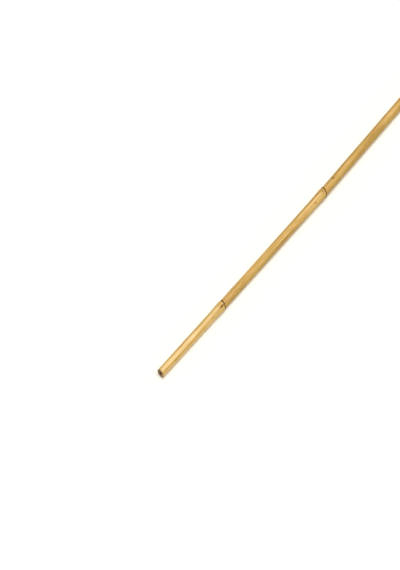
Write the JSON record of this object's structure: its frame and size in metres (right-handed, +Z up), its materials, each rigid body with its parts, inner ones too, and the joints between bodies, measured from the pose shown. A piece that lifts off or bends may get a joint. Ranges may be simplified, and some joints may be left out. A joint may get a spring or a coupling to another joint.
{
  "type": "bamboo cane",
  "caption": "Thin straight length of bamboo culm with ringed nodes, buds and hollow sawn ends, lying on its side; a plant support or craft stick.",
  "frame": {"origin": "on the resting surface, under the middle of the cane's bounding box", "axes": "+X along the cane from its thin tip end to its thick butt end, +Z up from the surface it lies on"},
  "size_m": [0.6014, 0.0134, 0.011],
  "materials": {
    "bamboo": "smooth satin culm skin, straw yellow with fine lengthwise streaks and dark brown node scars"
  },
  "bodies": {
    "root": {"cane": "bamboo"}
  },
  "joints": []
}
